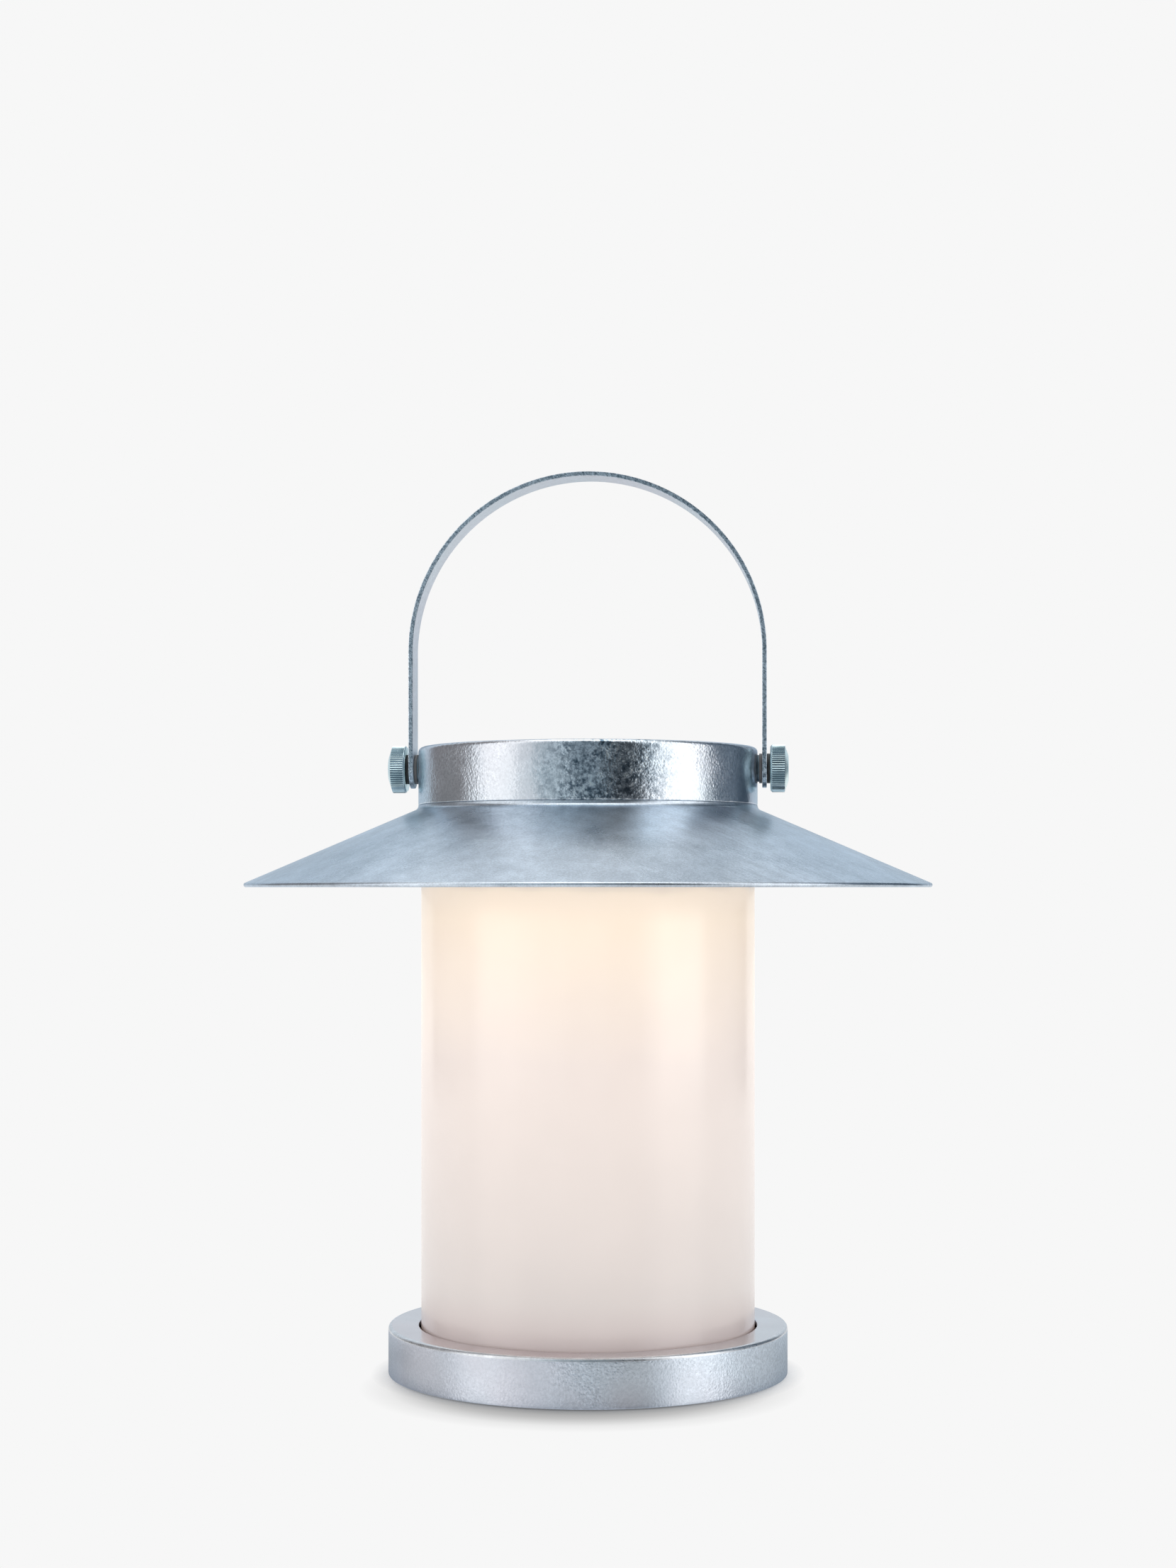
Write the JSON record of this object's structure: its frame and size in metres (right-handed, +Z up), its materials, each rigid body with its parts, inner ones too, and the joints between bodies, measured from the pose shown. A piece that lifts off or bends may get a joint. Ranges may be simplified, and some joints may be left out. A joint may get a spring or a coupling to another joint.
{
  "type": "table lantern",
  "caption": "Cordless metal table lantern: glowing opal cylinder on a round base, wide conical brim, upright collar and a swinging bail handle held by knurled screws.",
  "frame": {"origin": "middle of the footprint, on the surface that the rubber feet stand on", "axes": "+Z up, +X through the handle's right pivot, -Y to the front"},
  "size_m": [0.23, 0.23, 0.302],
  "materials": {
    "galvanised_steel": "galvanised sheet steel, finely hammered, satin",
    "zinc_steel": "zinc plated turned steel, satin",
    "plain_steel": "zinc plated steel",
    "dark_nylon": "moulded dark nylon",
    "opal_acrylic": "opal white acrylic, lit from inside",
    "black_rubber": "moulded rubber",
    "clear_silicone": "pale silicone rubber",
    "white_plastic": "white moulded plastic",
    "black_plastic": "black moulded plastic, fine grain",
    "board_green": "green solder mask",
    "board_aluminium": "white masked aluminium board",
    "led_yellow": "phosphor under clear resin",
    "frosted_plastic": "frosted polycarbonate",
    "cell_wrap": "shrink film",
    "lead_black": "insulated copper",
    "panel_board": "dark laminate",
    "solar_silicon": "blue silicon cells under clear film"
  },
  "bodies": {
    "lantern": {"base_ring": "galvanised_steel", "hat_brim": "galvanised_steel", "collar": "galvanised_steel", "rivet_nut_left": "zinc_steel", "rivet_nut_right": "zinc_steel", "inner_spacer_left": "dark_nylon", "inner_spacer_right": "dark_nylon", "opal_cylinder": "opal_acrylic", "base_plate": "plain_steel", "base_standoffs": "plain_steel", "base_screws": "plain_steel", "seat_screws": "plain_steel", "head_screws": "plain_steel", "board_screws": "plain_steel", "switch_screws": "plain_steel", "battery_contacts": "plain_steel", "rubber_feet": "black_rubber", "lower_seal": "clear_silicone", "upper_seal": "clear_silicone", "lid_seal": "black_rubber", "lower_holder": "white_plastic", "upper_holder": "white_plastic", "module_tray": "white_plastic", "led_board": "board_aluminium", "led_chips": "led_yellow", "reflector": "white_plastic", "led_lens": "frosted_plastic", "battery_cell": "cell_wrap", "control_board": "board_green", "switch_board": "board_green", "led_leads": "lead_black", "panel_leads": "lead_black", "top_lid": "black_plastic", "solar_panel": "panel_board", "solar_cells": "solar_silicon", "tact_switch": "black_plastic"},
    "handle": {"bail_handle": "galvanised_steel"},
    "left_washer": {"outer_washer_left": "dark_nylon"},
    "left_screw": {"thumb_screw_left": "zinc_steel"},
    "right_washer": {"outer_washer_right": "dark_nylon"},
    "right_screw": {"thumb_screw_right": "zinc_steel"},
    "button": {"power_button": "black_rubber"}
  },
  "joints": [
    {"name": "bail_swing", "type": "hinge", "parent": "lantern", "child": "handle", "pos_m": [0, 0, 0.2028], "axis": [1, 0, 0], "range_deg": [-103, 103]},
    {"name": "left_screw_travel", "type": "slide", "parent": "lantern", "child": "left_washer", "axis": [-1, 0, 0], "range_m": [0, 0.0014]},
    {"name": "left_screw_turn", "type": "hinge", "parent": "left_washer", "child": "left_screw", "pos_m": [-0.0612, 0, 0.2028], "axis": [-1, 0, 0], "range_deg": [0, 720]},
    {"name": "right_screw_travel", "type": "slide", "parent": "lantern", "child": "right_washer", "axis": [1, 0, 0], "range_m": [0, 0.0014]},
    {"name": "right_screw_turn", "type": "hinge", "parent": "right_washer", "child": "right_screw", "pos_m": [0.0612, 0, 0.2028], "axis": [1, 0, 0], "range_deg": [0, 720]},
    {"name": "button_press", "type": "slide", "parent": "lantern", "child": "button", "axis": [0, 0, -1], "range_m": [0, 0.0008], "stiffness_N_per_m": 300}
  ],
  "couplings": [
    {"joint": "left_screw_travel", "follows": "left_screw_turn", "m_per_rad": 0.0001114},
    {"joint": "right_screw_travel", "follows": "right_screw_turn", "m_per_rad": 0.0001114}
  ]
}
